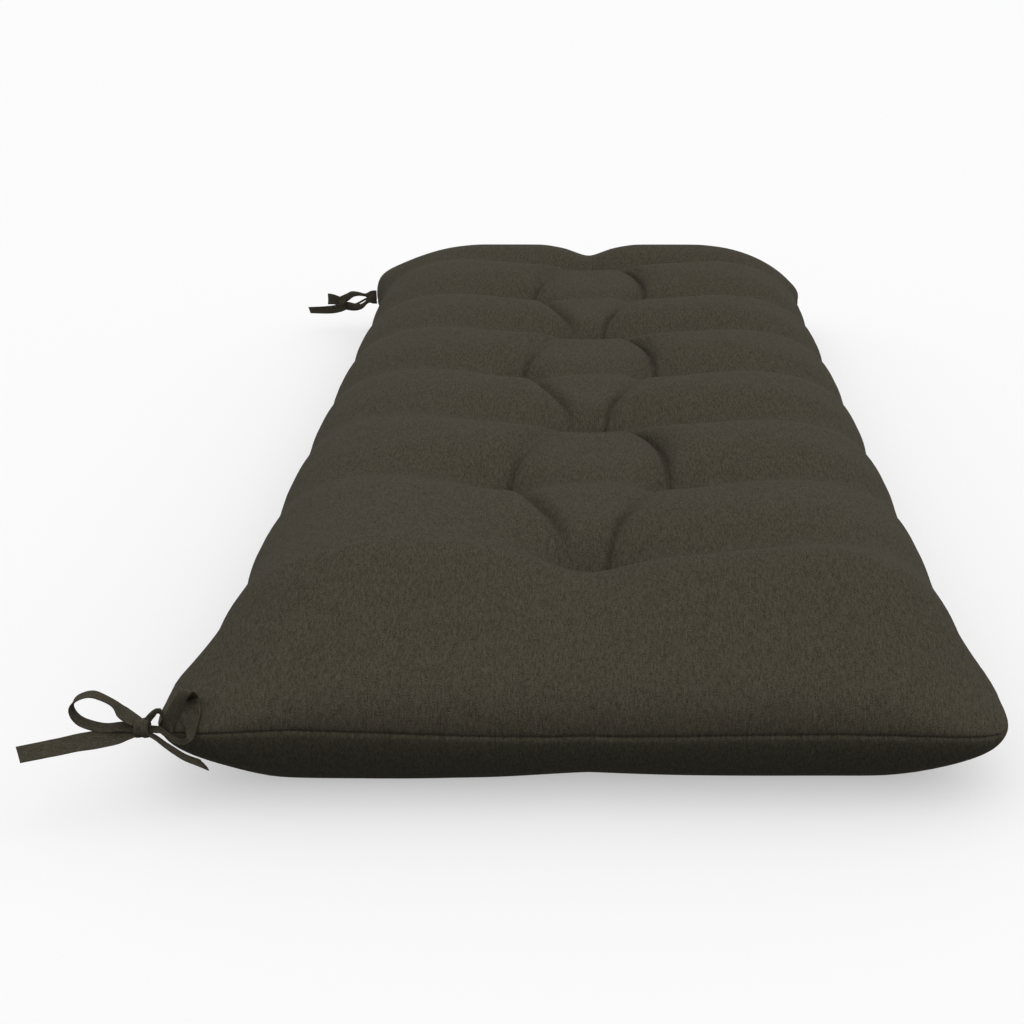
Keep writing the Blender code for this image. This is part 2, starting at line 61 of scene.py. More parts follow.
# %% Set up the camera
PICTURE = 1024                      # pixels, each way
FOCUS_PIXELS = 1721.5               # focal length in pixels of the picture
SENSOR = 36.0                       # millimetres
MIDDLE_LINE = 588.5                 # pixel column of the cushion's middle line
CAMERA_PLACE = (0.0, -1.5156, 0.5284)
CAMERA_PITCH = math.radians(20.159)
NEAREST = 0.01                      # metres from the camera; what is closer isn't drawn

camera = bpy.data.objects.new("camera", bpy.data.cameras.new("camera"))
bpy.context.scene.collection.objects.link(camera)
camera.location = CAMERA_PLACE
camera.rotation_euler = (math.pi / 2 - CAMERA_PITCH, 0.0, 0.0)
camera.data.sensor_width = SENSOR
camera.data.lens = FOCUS_PIXELS / PICTURE * SENSOR
camera.data.shift_x = (PICTURE / 2 - MIDDLE_LINE) / PICTURE
camera.data.clip_start = NEAREST
bpy.context.scene.camera = camera
print(f"lens {camera.data.lens:.1f} mm, shift {camera.data.shift_x:.3f}")

# %% [markdown]
# ## Floor and light
# Dark cloth needs even light: a big bright sky shows its folds softly and gives no hard
# shadow. The sky is the world itself, bright overhead and dark under the horizon, so the
# side of the cushion that turns to the floor falls off into shade as in the photograph. A
# pale floor would throw light back up there, so the floor takes no part in bounced light
# and glows a little by itself. One wide lamp, high up on the near right, lifts the tops of
# the ribs.

# %% Lay the floor
FLOOR_HALF = 120.0      # metres, so that it reaches the horizon
FLOOR_GREY = 0.52
FLOOR_GLOW = 0.44

bm = bmesh.new()
bmesh.ops.create_grid(bm, x_segments=1, y_segments=1, size=FLOOR_HALF)
floor_mesh = bpy.data.meshes.new("floor")
bm.to_mesh(floor_mesh)
bm.free()
floor = bpy.data.objects.new("floor", floor_mesh)
bpy.context.scene.collection.objects.link(floor)
floor.visible_diffuse = False
floor_paint = bpy.data.materials.new("pale floor")
floor_paint.use_nodes = True
paint = floor_paint.node_tree.nodes["Principled BSDF"]
paint.inputs["Base Color"].default_value = (FLOOR_GREY, FLOOR_GREY, FLOOR_GREY, 1.0)
paint.inputs["Roughness"].default_value = 1.0
paint.inputs["Specular IOR Level"].default_value = 0.0
paint.inputs["Emission Color"].default_value = (1.0, 1.0, 1.0, 1.0)
paint.inputs["Emission Strength"].default_value = FLOOR_GLOW
floor_mesh.materials.append(floor_paint)
print("floor", 2 * FLOOR_HALF, "m wide")

# %% Light it with a soft sky
SKY = 0.88
UNDER_SKY = 0.02        # the same under the horizon
HORIZON = 0.02          # sine of the angle, up and down, in which one turns into the other

world = bpy.data.worlds.new("studio")
world.use_nodes = True
bpy.context.scene.world = world
tree = world.node_tree
direction = tree.nodes.new("ShaderNodeTexCoord")
parts = tree.nodes.new("ShaderNodeSeparateXYZ")
horizon = tree.nodes.new("ShaderNodeMapRange")
horizon.inputs["From Min"].default_value = -HORIZON
horizon.inputs["From Max"].default_value = HORIZON
horizon.inputs["To Min"].default_value = UNDER_SKY
horizon.inputs["To Max"].default_value = SKY
tree.links.new(direction.outputs["Generated"], parts.inputs["Vector"])
tree.links.new(parts.outputs["Z"], horizon.inputs["Value"])
tree.links.new(horizon.outputs["Result"], tree.nodes["Background"].inputs["Strength"])
tree.nodes["Background"].inputs["Color"].default_value = (1.0, 1.0, 1.0, 1.0)
bpy.context.scene.view_settings.view_transform = "Standard"
print("sky", SKY, "under it", UNDER_SKY)

# %% Add a wide lamp, high up on the near right
LAMP = 0.55
LAMP_SPREAD = math.radians(70)          # this wide, it gives no hard shadow
LAMP_FROM = Vector((0.55, -0.45, 1.0))

lamp = bpy.data.objects.new("lamp", bpy.data.lights.new("lamp", "SUN"))
bpy.context.scene.collection.objects.link(lamp)
lamp.data.energy = LAMP
lamp.data.angle = LAMP_SPREAD
lamp.location = 2 * LAMP_FROM
lamp.rotation_euler = LAMP_FROM.to_track_quat("Z", "Y").to_euler()
print("lamp", LAMP)

# %% [markdown]
# ## The cover's form
# Both panels are cut as one plain rectangle. What the filling and the stitches do to it can
# be written as a few rules on that rectangle: tufts and folds take a share of its height,
# the corners open out into flat ears, and the panels round up and down from the seam. A
# fine grid moved by these rules keeps every fold where the pattern has it. A cloth
# simulation of a filled bag would be the other way, but its folds go where they like.

# %% Size of the rectangle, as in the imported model
LENGTH = 1.200
WIDTH = 0.491
HALF_L, HALF_W = LENGTH / 2, WIDTH / 2
RIBS = 8                # puffed bands across the cushion, with a sewn row between two of them
PITCH = LENGTH / RIBS
low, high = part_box("cushion")
print(f"cover {high.y - low.y:.3f} m long in the frame, {LENGTH:.3f} m here")

# %% Place the tufts
PAIR = 0.061            # offset of the paired tufts from the middle line
BAR = 0.012             # half length of a middle tuft, which is a short bar
TUFT_DEPTH = 0.43       # share of the crown that a tuft takes
TUFT_REACH = 0.074


def row_place(row):
    """How far along the cushion a sewn row lies."""
    return -HALF_L + row * PITCH


def tufts():
    """One tuft in the middle takes turns with a pair."""
    places = []
    for row in range(1, RIBS):
        across = (0.0,) if row % 2 else (-PAIR, PAIR)
        places += [(x, row_place(row)) for x in across]
    return places


def tuft_fall(x, y, tuft_x, tuft_y):
    """Share of the crown that one tuft takes at each place."""
    beside = np.maximum(np.abs(x - tuft_x) - (BAR if tuft_x == 0 else 0), 0)
    away = np.hypot(beside, y - tuft_y)
    return TUFT_DEPTH * np.clip(1 - away / TUFT_REACH, 0, 1) ** 2


print(len(tufts()), "tufts in", RIBS - 1, "rows")

# %% [markdown]
# ## Valleys and folds
# The filling is pressed down along each sewn row, so a soft valley runs from its tufts to
# the side seams and bends back a little on the way. Another runs from the last tuft to each
# end. The cloth itself is drawn tight from tuft to tuft, in sharper folds that bow out
# behind each pair. Each of them is a depth that fades with the distance from a line.

# %% Depths of the valleys
FOLD_REACH = 0.072      # half width of the valley along a sewn row, at its tuft
EDGE_REACH = 0.036      # the same at the side seam
FOLD_POWER = 2.0        # how steeply a valley's sides fall in
SOFT_TUFT = 0.004       # rounding of a valley's bottom at its tuft
SOFT_EDGE = 0.014       # the same at the side seam
ROW_BOW = 0.028         # how far back a row's valley has bent at the side seam
BOW_POWER = 1.3         # how late it bends
PAIR_FOLD = (0.26, 0.15)    # depth of the fold between a pair's tufts, at the left and right one
END_FOLD = 0.30         # depth at the last tuft of the fold from it to the end seam
END_FADE = 1.5          # how soon that fold gets shallow

# row, depth of its fold at the tuft, at the right and left side seam, how soon it gets
# shallow to the right and to the left, its pull on the right and left side seam
ROW_FOLDS = (
    (1, 0.38, 0.05, 0.00, 1.1, 5.0, 0.0030, 0.0050),
    (2, 0.29, 0.14, 0.09, 1.1, 2.2, 0.0030, 0.0030),
    (3, 0.38, 0.11, 0.07, 1.1, 2.2, 0.0040, 0.0030),
    (4, 0.29, 0.15, 0.10, 1.1, 2.2, 0.0025, 0.0025),
    (5, 0.38, 0.13, 0.08, 1.1, 2.2, 0.0040, 0.0035),
    (6, 0.30, 0.15, 0.10, 1.1, 2.2, 0.0030, 0.0035),
    (7, 0.38, 0.13, 0.09, 1.1, 2.2, 0.0035, 0.0040),
)

# last tuft's row, place of the end seam, depth there, rounding at both, half width
END_FOLDS = (
    (1, -HALF_L, 0.05, 0.010, 0.030, 0.095),
    (RIBS - 1, HALF_L, 0.11, 0.006, 0.012, 0.050),
)
print("deepest valley:", max(depth for _, depth, *_ in ROW_FOLDS), "of the crown")

# %% Two helpers for what changes from place to place


def ease(t):
    """A soft step from 0 to 1."""
    t = np.clip(t, 0, 1)
    return t * t * (3 - 2 * t)


def mix(a, b, t):
    """From a, at t = 0, straight to b, at t = 1."""
    return a + (b - a) * t


print("a quarter of the way:", ease(0.25), "softly,", mix(0, 1, 0.25), "straight")

# %% List the valleys


def valleys():
    """Each as two rows of x, y, depth, softness, reach, then how soon it fades."""
    lines = []
    for row, depth, right, left, fade_right, fade_left, _, _ in ROW_FOLDS:
        y = row_place(row)
        start = 0.0 if row % 2 else PAIR
        for side, edge, fade in ((1, right, fade_right), (-1, left, fade_left)):
            tuft = (side * start, y, depth, SOFT_TUFT, FOLD_REACH)
            lines.append((tuft, (side * HALF_W, y, edge, SOFT_EDGE, EDGE_REACH), fade))
        if row % 2 == 0:
            pair = zip((-PAIR, PAIR), PAIR_FOLD)
            lines.append((*[(x, y, share, SOFT_TUFT, FOLD_REACH) for x, share in pair], 1.0))
    for row, y, edge, soft_tuft, soft_edge, reach in END_FOLDS:
        tuft = (0.0, row_place(row), END_FOLD, soft_tuft, reach)
        lines.append((tuft, (0.0, y, edge, soft_edge, reach), END_FADE))
    return lines


print(len(valleys()), "valleys")

# %% Bend and shape a valley


def row_bow(x):
    """How far back the rows' valleys have bent, from the pairs of tufts to the side seam."""
    return ROW_BOW * (np.maximum(np.abs(x) - PAIR, 0) / (HALF_W - PAIR)) ** BOW_POWER


def valley_fall(x, y, first, last, fade):
    """Share of the crown that one valley takes at each place."""
    x0, y0, start = first[:3]
    ux, uy = last[0] - x0, last[1] - y0
    t = np.clip(((x - x0) * ux + (y - y0) * uy) / (ux * ux + uy * uy), 0, 1)
    end, soft, reach = last[2], mix(first[3], last[3], t), mix(first[4], last[4], t)
    away = np.sqrt((x - x0 - t * ux) ** 2 + (y - y0 - t * uy) ** 2 + soft ** 2) - soft
    depth = end + (start - end) * (1 - t) ** fade
    return depth * np.clip(1 - away / reach, 0, 1) ** FOLD_POWER


print(f"half way to the side seam a row has bent back by {row_bow(HALF_W / 2) * 1000:.0f} mm")

# %% Place the folds from tuft to tuft
CUT_BOW = ((1.5, 3.2), (1.4, 1.6))  # their bow before and behind a pair, right then left
CUT_STEP = 0.002        # metres along the cushion over which their slope is measured


def way_between(y):
    """0 at a row with one tuft, 1 at the pair behind it, and up to 2 at the next one."""
    return (np.clip((y + HALF_L) / PITCH, 1, RIBS - 1) - 1) % 2


def cut_place(x, y):
    """Distance of these folds from the middle line."""
    part = way_between(y)
    (out_right, in_right), (out_left, in_left) = CUT_BOW
    outward = np.clip(part, 0, 1) ** np.where(x >= 0, out_right, out_left)
    inward = 1 - np.clip(part - 1, 0, 1) ** np.where(x >= 0, in_right, in_left)
    return BAR + (PAIR - BAR) * np.where(part < 1, outward, inward)


def beside_cut(x, y):
    """Distance from these folds, measured square to them."""
    slope = (cut_place(x, y + CUT_STEP) - cut_place(x, y - CUT_STEP)) / (2 * CUT_STEP)
    return np.abs(np.abs(x) - cut_place(x, y)) / np.sqrt(1 + slope ** 2)


print(f"a fold leaves its middle tuft {BAR} m from the middle line and meets its pair at {PAIR}")

# %% Depth of those folds
CUT_REACH = 0.020       # half width of the sharper folds between tufts
CUT_SOFT = 0.003        # rounding of their bottom
MID_BAY = 0.8           # how much shallower they are half way

# row, depth of the fold to the next row's tuft: right near and far end, left near and far
BAY_FOLDS = (
    (1, 0.24, 0.14, 0.25, 0.24),
    (2, 0.22, 0.25, 0.23, 0.13),
    (3, 0.24, 0.14, 0.25, 0.24),
    (4, 0.22, 0.25, 0.23, 0.12),
    (5, 0.24, 0.14, 0.25, 0.24),
    (6, 0.22, 0.24, 0.23, 0.12),
)


def cut_depth(x, y):
    """Depth of these folds at their deepest, as a share of the crown."""
    depth = np.zeros_like(y)
    for row, right_near, right_far, left_near, left_far in BAY_FOLDS:
        t = (y + HALF_L) / PITCH - row
        near = np.where(x >= 0, right_near, left_near)
        far = np.where(x >= 0, right_far, left_far)
        shallower = 1 - MID_BAY * t * (1 - t)
        depth = np.where((t >= 0) & (t <= 1), (near + (far - near) * t) * shallower, depth)
    return depth


def cut_fall(x, y):
    """Share of the crown that these folds take at each place."""
    away = np.sqrt(beside_cut(x, y) ** 2 + CUT_SOFT ** 2) - CUT_SOFT
    return cut_depth(x, y) * np.clip(1 - away / CUT_REACH, 0, 1) ** 2


print(len(BAY_FOLDS), "bays with a fold on either side")

# %% Add them up: the deepest one wins, softly
MIDDLE_DIP = 0.13       # depth of the dip between the folds on either side
DIP_BEYOND = 0.025      # how far past those folds the dip still reaches
DIP_EDGE = 0.030        # width of its rim
BLEND = 4.0             # a higher power lets the deepest one win more sharply


def middle_dip(x, y):
    """Share of the crown missing between the folds on either side."""
    inside = ease((cut_place(x, y) + DIP_BEYOND - np.abs(x)) / DIP_EDGE)
    between_rows = ease((row_place(RIBS - 1) - np.abs(y)) / DIP_EDGE)
    return MIDDLE_DIP * inside * between_rows


def fall(x, y):
    """Share of the crown that tufts and folds take at each place."""
    bent = y - row_bow(x)
    shares = [tuft_fall(x, y, *tuft) for tuft in tufts()]
    shares += [valley_fall(x, bent, *valley) for valley in valleys()]
    shares += [cut_fall(x, y), middle_dip(x, y)]
    return sum(share ** BLEND for share in shares) ** (1 / BLEND)


probe = np.array([0.0]), np.array([row_place(1)])
print(f"the first tuft takes {fall(*probe)[0]:.2f} of the crown")

# %% [markdown]
# ## The outline and the heights
# The stitches pull the side seams in at every row, and the filled cloth opens out at the
# corners into ears. The seam waves up and down a little. From the seam the upper panel
# rises in a round shoulder and the lower one hangs to the floor, where it is pressed flat.

# %% Draw the outline
CORNER = 0.030          # the corners' rounding
PULL_REACH = 0.065      # length of side seam that a row draws in, each way
END_PINCH = 0.005       # pull of the end folds on the end seams
PINCH_WIDTH = 0.07      # length of end seam that they draw in, each way

# corner's signs, reach outward, distance from the end where it starts and is full, flatness
EARS = (
    (-1, -1, 0.0178, 0.108, 0.072, 0.52),
    (1, -1, 0.0118, 0.110, 0.066, 0.36),
    (-1, 1, 0.0150, 0.150, 0.020, -0.35),
    (1, 1, 0.0130, 0.150, 0.020, 0.10),
)


def flare(x, y, ear):
    """How far along the end an ear has opened, in its own corner only."""
    sign_x, sign_y, _, start, full, _ = ear
    here = (np.sign(x) == sign_x) & (np.sign(y) == sign_y)
    return here * ease((start - (HALF_L - np.abs(y))) / (start - full))


def plan(x, y):
    """Corners rounded and flared, sides drawn in at each row, ends at their middle."""
    p = np.clip((np.abs(x) - (HALF_W - CORNER)) / CORNER, 0, 1)
    q = np.clip((np.abs(y) - (HALF_L - CORNER)) / CORNER, 0, 1)
    round_x = HALF_W - CORNER + CORNER * p * np.sqrt(1 - q * q / 2)
    round_y = HALF_L - CORNER + CORNER * q * np.sqrt(1 - p * p / 2)
    px = np.where(p > 0, np.sign(x) * round_x, x)
    py = np.where(q > 0, np.sign(y) * round_y, y)
    side = (np.abs(x) / HALF_W) ** 2
    for ear in EARS:
        px = px + ear[0] * ear[2] * side ** 3 * flare(x, y, ear)
    for row, *_, right, left in ROW_FOLDS:
        away = np.clip((y - row_place(row) - ROW_BOW) / PULL_REACH, -1, 1)
        px = px - np.sign(x) * side * np.where(x > 0, right, left) * (1 - away ** 2) ** 2
    end = np.clip(1 - (HALF_L - np.abs(y)) / PITCH, 0, 1) ** 2
    middle = np.clip(1 - np.abs(x) / PINCH_WIDTH, 0, 1) ** 2
    return px, py - np.sign(y) * end * END_PINCH * middle


corner_x, corner_y = plan(np.array([-HALF_W]), np.array([-HALF_L]))
print(f"the near left corner lies at {corner_x[0]:.3f}, {corner_y[0]:.3f}")

# %% Let the seam wave
SEAM_Z = 0.049          # the seam's height over the floor
SIDE_WAVE = 0.0015      # its rise and fall along the sides
WAVE_START = 0.35       # distance from the middle where the near end's own wave starts

# place across, rise of the near end's seam there
NEAR_WAVE = (
    (-0.260, -0.0010), (-0.230, 0.0010), (-0.175, 0.0040), (-0.100, 0.0010),
    (0.000, -0.0025), (0.070, 0.0000), (0.150, 0.0010), (0.220, -0.0010), (0.262, -0.0030),
)


def seam_height(x, y):
    """Height of the seam over the floor, carried on inwards over the whole rectangle."""
    near = ease((-y - WAVE_START) / (HALF_L - WAVE_START))
    wave = np.interp(x, [place for place, _ in NEAR_WAVE], [rise for _, rise in NEAR_WAVE])
    ribs = SIDE_WAVE * np.cos(2 * math.pi * (y + HALF_L - ROW_BOW) / PITCH)
    return SEAM_Z + wave * near + ribs * (1 - near)


print(f"seam {seam_height(*probe)[0]:.4f} m over the floor at the first row")

# %% Raise the upper panel
CROWN_END = 0.078       # its height over the seam in the two end ribs
CROWN_MID = 0.072       # the same in the others
END_RIB = 0.32          # where the end ribs begin to rise over the others, from the middle
END_RIB_EDGE = 0.16     # distance over which they do
TOP_EDGE = 0.120        # distance over which it rounds up from the seam
SHOULDER = (0.30, 0.42)     # share of the crown that it gains at once, at the near and far end
SHOULDER_EDGE = 0.026   # distance over which it does
SHOULDER_POWER = 3.0    # over 2 makes that shoulder squarer than an ellipse
RAMP_POWER = (1.2, 1.8)     # 1 makes a straight ramp from there to the crown, near and far


def round_up(distance, reach):
    """A quarter ellipse: 0 on the seam, 1 where the panel has reached its height."""
    t = 1 - np.clip(distance, 0, reach) / reach
    return np.sqrt(np.maximum(1 - t * t, 0))


def end_rise(y):
    """The upper panel's rise from an end seam: a quick shoulder, then a steady ramp."""
    distance = HALF_L - np.abs(y)
    t = 1 - np.clip(distance, 0, SHOULDER_EDGE) / SHOULDER_EDGE
    shoulder = (1 - t ** SHOULDER_POWER) ** (1 / SHOULDER_POWER)
    bend = np.where(y < 0, *RAMP_POWER)
    ramp = 1 - (1 - np.clip(distance, 0, TOP_EDGE) / TOP_EDGE) ** bend
    share = np.where(y < 0, *SHOULDER)
    return share * shoulder + (1 - share) * ramp


def top_height(x, y):
    """Height of the upper panel over the floor."""
    crown = CROWN_MID + (CROWN_END - CROWN_MID) * ease((np.abs(y) - END_RIB) / END_RIB_EDGE)
    share = round_up(HALF_W - np.abs(x), TOP_EDGE) * end_rise(y)
    for ear in EARS:
        share = share ** (1 + ear[5] * flare(x, y, ear) * (np.abs(x) / HALF_W) ** 4)
    base = seam_height(x, y) * (1 - share) + SEAM_Z * share
    return base + crown * share * (1 - fall(x, y))


print(f"the first tuft lies {top_height(*probe)[0]:.3f} m over the floor")

# %% Let the lower panel hang
BELLY = 0.061           # how far it would hang under the seam with no floor there
BELLY_EDGE = 0.074      # distance over which it turns under
BELLY_POWER = 1.4       # over 1 makes it turn under at once
BELLY_CORNER = 1.6      # over 1 makes the corners' undersides full
BELLY_RIGHT = 0.93      # share of it on the right half, which is flatter
LEFT_BELLY = -0.13      # where the left half's full belly ends
BACK_SHARE = 0.45       # depth of the same tufts on the underside
TINY = 1e-9             # keeps the corner itself from dividing by nothing


def under_height(x, y):
    """Height of the lower panel, which the floor holds up."""
    across = round_up(HALF_W - np.abs(x), BELLY_EDGE)
    along = round_up(HALF_L - np.abs(y), BELLY_EDGE)
    both = across ** BELLY_CORNER + along ** BELLY_CORNER - (across * along) ** BELLY_CORNER
    share = (across * along / np.maximum(both, TINY) ** (1 / BELLY_CORNER)) ** BELLY_POWER
    base = seam_height(x, y) * (1 - share) + SEAM_Z * share
    to_right = ease((x - LEFT_BELLY) / -LEFT_BELLY) * ease((HALF_W - x) / BELLY_EDGE)
    flatter = (1 - BELLY_RIGHT) * to_right
    hang = BELLY * share * (1 - BACK_SHARE * fall(x, y)) * (1 - flatter)
    return np.maximum(base - hang, 0.0)


print(f"under that tuft it is {under_height(*probe)[0]:.3f} m off the floor")

# %% [markdown]
# ## Sewing the two panels
# The real cover is two rectangles sewn together inside out and turned. Here each panel is
# Blender's own grid, one quad for a few millimetres of cloth. Its lines crowd together
# towards the seam, where the cloth turns, and beside the tufts and folds. A UV map keeps
# each vertex's place on the flat rectangle. Near the rim it holds the metres of cloth along
# the grid, so the weave keeps its size where the panels turn down to the seam.

# %% Grid lines that follow the folds
# how far round the shoulder the outer lines lie, in degrees from the seam
TURN_DEGREES = (0, 0.9, 2.0, 3.6, 6, 9.5, 14, 19, 24.5, 30, 36, 42, 48.5, 55, 61.5, 68, 74.5)
INNER_LINE = 0.137      # the lines further in than this shift, to follow the folds
SPREAD = 0.0068         # usual distance between lines
BESIDE_CUT = (0.0012, 0.0026, 0.0044, 0.0070, 0.0110)   # lines either side of a fold
CUT_ZONE = (0.044, 0.078)       # where the usual distance ends and starts again beside it
BESIDE_ROW = 0.020      # width of the zone beside a row where the lines lie closer
ROW_SPREAD = 0.0045     # their distance there


def between(first, last, step):
    """Evenly spaced lines from the first, not including the last."""
    count = max(1, round(abs(last - first) / step))
    return list(first + (last - first) * np.arange(count) / count)


def lines_across():
    turn = [HALF_W - TOP_EDGE * (1 - math.cos(math.radians(a))) for a in TURN_DEGREES]
    half = turn + between(INNER_LINE, CUT_ZONE[1], SPREAD)
    half += [PAIR + d for d in BESIDE_CUT[::-1]] + [PAIR] + [PAIR - d for d in BESIDE_CUT]
    half += between(CUT_ZONE[0], 0.0, SPREAD)
    return np.array([-v for v in half] + [0.0] + half[::-1])


def lines_along():
    turn = [-HALF_L + TOP_EDGE * (1 - math.cos(math.radians(a))) for a in TURN_DEGREES]
    end = turn + between(turn[-1] + SPREAD, row_place(1), SPREAD)
    lines = list(end)
    for row in range(1, RIBS - 1):
        start, last = row_place(row), row_place(row + 1)
        inner, outer = start + BESIDE_ROW, last - BESIDE_ROW
        lines += between(start, inner, ROW_SPREAD) + between(inner, outer, SPREAD)
        lines += between(outer, last, ROW_SPREAD)
    return np.array(lines + [row_place(RIBS - 1)] + [-v for v in end[::-1]])


across, along = lines_across(), lines_along()
print(len(across), "lines across by", len(along), "lines along")

# %% Let the inner lines follow the folds


def follow_cuts(x, y):
    """Shift the inner lines so that one of them runs in the folds between tufts."""
    line = cut_place(x, y)
    size = np.abs(x)
    outer = INNER_LINE - (INNER_LINE - size) * (INNER_LINE - line) / (INNER_LINE - PAIR)
    moved = np.where(size <= PAIR, size * line / PAIR, outer)
    return np.sign(x) * np.where(size < INNER_LINE, moved, size)


moved_most = np.abs(follow_cuts(np.array([PAIR]), np.array([row_place(1)])) - PAIR)[0]
print(f"a line moves by up to {moved_most * 1000:.0f} mm")

# %% Measure the cloth for its UV map
RIM = 0.05              # width of the edge zone, where the panels turn down to the seam
print("real lengths of cloth within", RIM, "m of the rim")


def map_cloth(bm, place):
    """Write the UV map of the faces round these vertices from the cloth each one is on."""
    pattern = bm.loops.layers.uv["cloth"]
    for face in {face for vert in place for face in vert.link_faces}:
        for loop in face.loops:
            loop[pattern].uv = place[loop.vert]


def cloth_place(points, flat, axis):
    """The place on the rectangle, with the cloth's own length in its stead near the rim."""
    steps = np.diff(flat, axis=axis)
    middles = np.delete(flat, 0, axis=axis) - steps / 2
    extra = np.linalg.norm(np.diff(points, axis=axis), axis=2) - steps
    extra[np.abs(middles) < flat.max() - RIM] = 0
    reach = np.insert(np.cumsum(extra, axis=axis), 0, 0.0, axis=axis)
    return flat + reach - np.take(reach, [flat.shape[axis] // 2], axis=axis)

# %% Lay a grid on the lines and give it its form


def new_bmesh():
    """An empty bmesh with a layer for the places on the rectangle and the UV map."""
    bm = bmesh.new()
    bm.verts.layers.float_vector.new("flat")
    bm.loops.layers.uv.new("cloth")
    return bm


def add_panel(bm, height, side):
    """Blender's grid in its filled form. A vertex layer keeps its place on the rectangle."""
    last_x, last_y = len(across) - 1, len(along) - 1
    made = bmesh.ops.create_grid(bm, x_segments=last_x, y_segments=last_y, size=1)["verts"]
    x, y = np.meshgrid(across, along)
    x = follow_cuts(x, y)
    points = np.dstack((*plan(x, y), height(x, y)))
    u, v = cloth_place(points, x, 1), cloth_place(points, y, 0)
    flat = bm.verts.layers.float_vector["flat"]
    place = {}
    for vert in made:
        # the operator's grid runs from -1 to 1 both ways, which tells a vertex's lines
        spot = round((vert.co.y + 1) / 2 * last_y), round((vert.co.x + 1) / 2 * last_x)
        vert.co = points[spot]
        vert[flat] = (x[spot], y[spot], side)
        place[vert] = (u[spot], v[spot])
    map_cloth(bm, place)


bm = new_bmesh()
add_panel(bm, top_height, 1.0)
add_panel(bm, under_height, -1.0)
print("two panels with", len(bm.faces), "quads")

# %% Sew the panels together
MERGE = 0.00001         # vertices of the two panels this close are sewn into one


def as_object(name, bm):
    """Turn a bmesh into an object of the scene, smooth and facing outwards."""
    bmesh.ops.recalc_face_normals(bm, faces=bm.faces)
    mesh = bpy.data.meshes.new(name)
    bm.to_mesh(mesh)
    bm.free()
    mesh.shade_smooth()
    made = bpy.data.objects.new(name, mesh)
    bpy.context.scene.collection.objects.link(made)
    return made


bmesh.ops.remove_doubles(bm, verts=bm.verts, dist=MERGE)
open_edges = sum(edge.is_boundary for edge in bm.edges)
cover = as_object("cover", bm)
print(len(cover.data.vertices), "vertices,", open_edges, "open edges")

# %% [markdown]
# ## Smoothing and the seam
# One level of subdivision rounds the quads off. Only then comes what is narrower than a
# quad: the seam lies in a groove, because the two panels bulge on either side of it. The
# cloth puckers a little where it is gathered along the seam, and it is creased sharply
# where it is drawn tight from tuft to tuft.

# %% Subdivide once
rounder = cover.modifiers.new("rounder", "SUBSURF")
rounder.levels = rounder.render_levels = 1
depsgraph = bpy.context.evaluated_depsgraph_get()
smooth = bpy.data.meshes.new_from_object(cover.evaluated_get(depsgraph))
cover.modifiers.clear()
cover.data = smooth
print(len(smooth.polygons), "quads,", 2 * len(smooth.polygons), "triangles")

# %% Crease the cloth where it is drawn tight
CREASE_WIDTH = 0.0015   # distance over which a crease fades
CREASE_START, CREASE_END = 0.08, 0.25   # parts of the way over which a crease comes and goes

# side, first and last part of the way from one middle tuft to the next, depth at both
CREASES = (
    (1, 0.00, 0.62, 0.0036, 0.0030),
    (1, 0.97, 1.97, 0.0030, 0.0055),
    (-1, 0.97, 1.50, 0.0042, 0.0025),
    (-1, 0.05, 0.90, 0.0010, 0.0015),
)


def crease(x, y):
    """Extra depth of the sharp folds that run from tuft to tuft on the upper panel."""
    part = way_between(y)
    depth = np.zeros_like(x)
    for side, first, last, start, end in CREASES:
        comes, goes = ease((part - first) / CREASE_START), ease((last - part) / CREASE_END)
        deep = start + (end - start) * (part - first) / (last - first)
        depth = np.maximum(depth, deep * (comes * goes * (np.sign(x) == side)))
    in_rows = np.abs(y) < row_place(RIBS - 1)
    return in_rows * depth * np.exp(-beside_cut(x, y) / CREASE_WIDTH)


print(len(CREASES), "creases from each middle tuft to the next")

# %% Press in the seam, the puckers and the creases
GROOVE = 0.0020         # depth of the seam under the two panels
GROOVE_WIDTH = 0.0013   # distance over which it fades
PUCKER = 0.0006         # depth of the puckers beside it
PUCKER_SCALE = 75       # noise cells a metre
PUCKER_FADE = 0.014     # distance from the seam over which the puckers fade
PUCKER_REACH = 0.06     # there are none further from it than this


def read(mesh, name, width):
    """Places, normals or the kept places on the rectangle, one row for each vertex."""
    values = np.empty(len(mesh.vertices) * width)
    if name == "flat":
        mesh.attributes[name].data.foreach_get("vector", values)
    elif name == "normal":
        mesh.vertex_normals.foreach_get("vector", values)
    else:
        mesh.vertices.foreach_get(name, values)
    return values.reshape(-1, width)


place, out, flat = read(smooth, "co", 3), read(smooth, "normal", 3), read(smooth, "flat", 3)
x, y = flat[:, 0], flat[:, 1]
rim = np.minimum(HALF_W - np.abs(x), HALF_L - np.abs(y))
from_seam = np.abs(place[:, 2] - seam_height(x, y)) + np.maximum(rim, 0)
press = GROOVE * np.exp(-from_seam / GROOVE_WIDTH)
grain = np.array([noise.noise(Vector((u * PUCKER_SCALE, v * PUCKER_SCALE, side)))
                  for u, v, side in flat])
press += PUCKER * grain * np.exp(-from_seam / PUCKER_FADE) * (from_seam < PUCKER_REACH)
press += crease(x, y) * (flat[:, 2] > 0)
place = place - out * press[:, None]
place[:, 2] = np.maximum(place[:, 2], 0.0)
smooth.vertices.foreach_set("co", place.ravel())
smooth.update()
smooth.shade_smooth()
print(f"pressed in by up to {press.max() * 1000:.1f} mm")

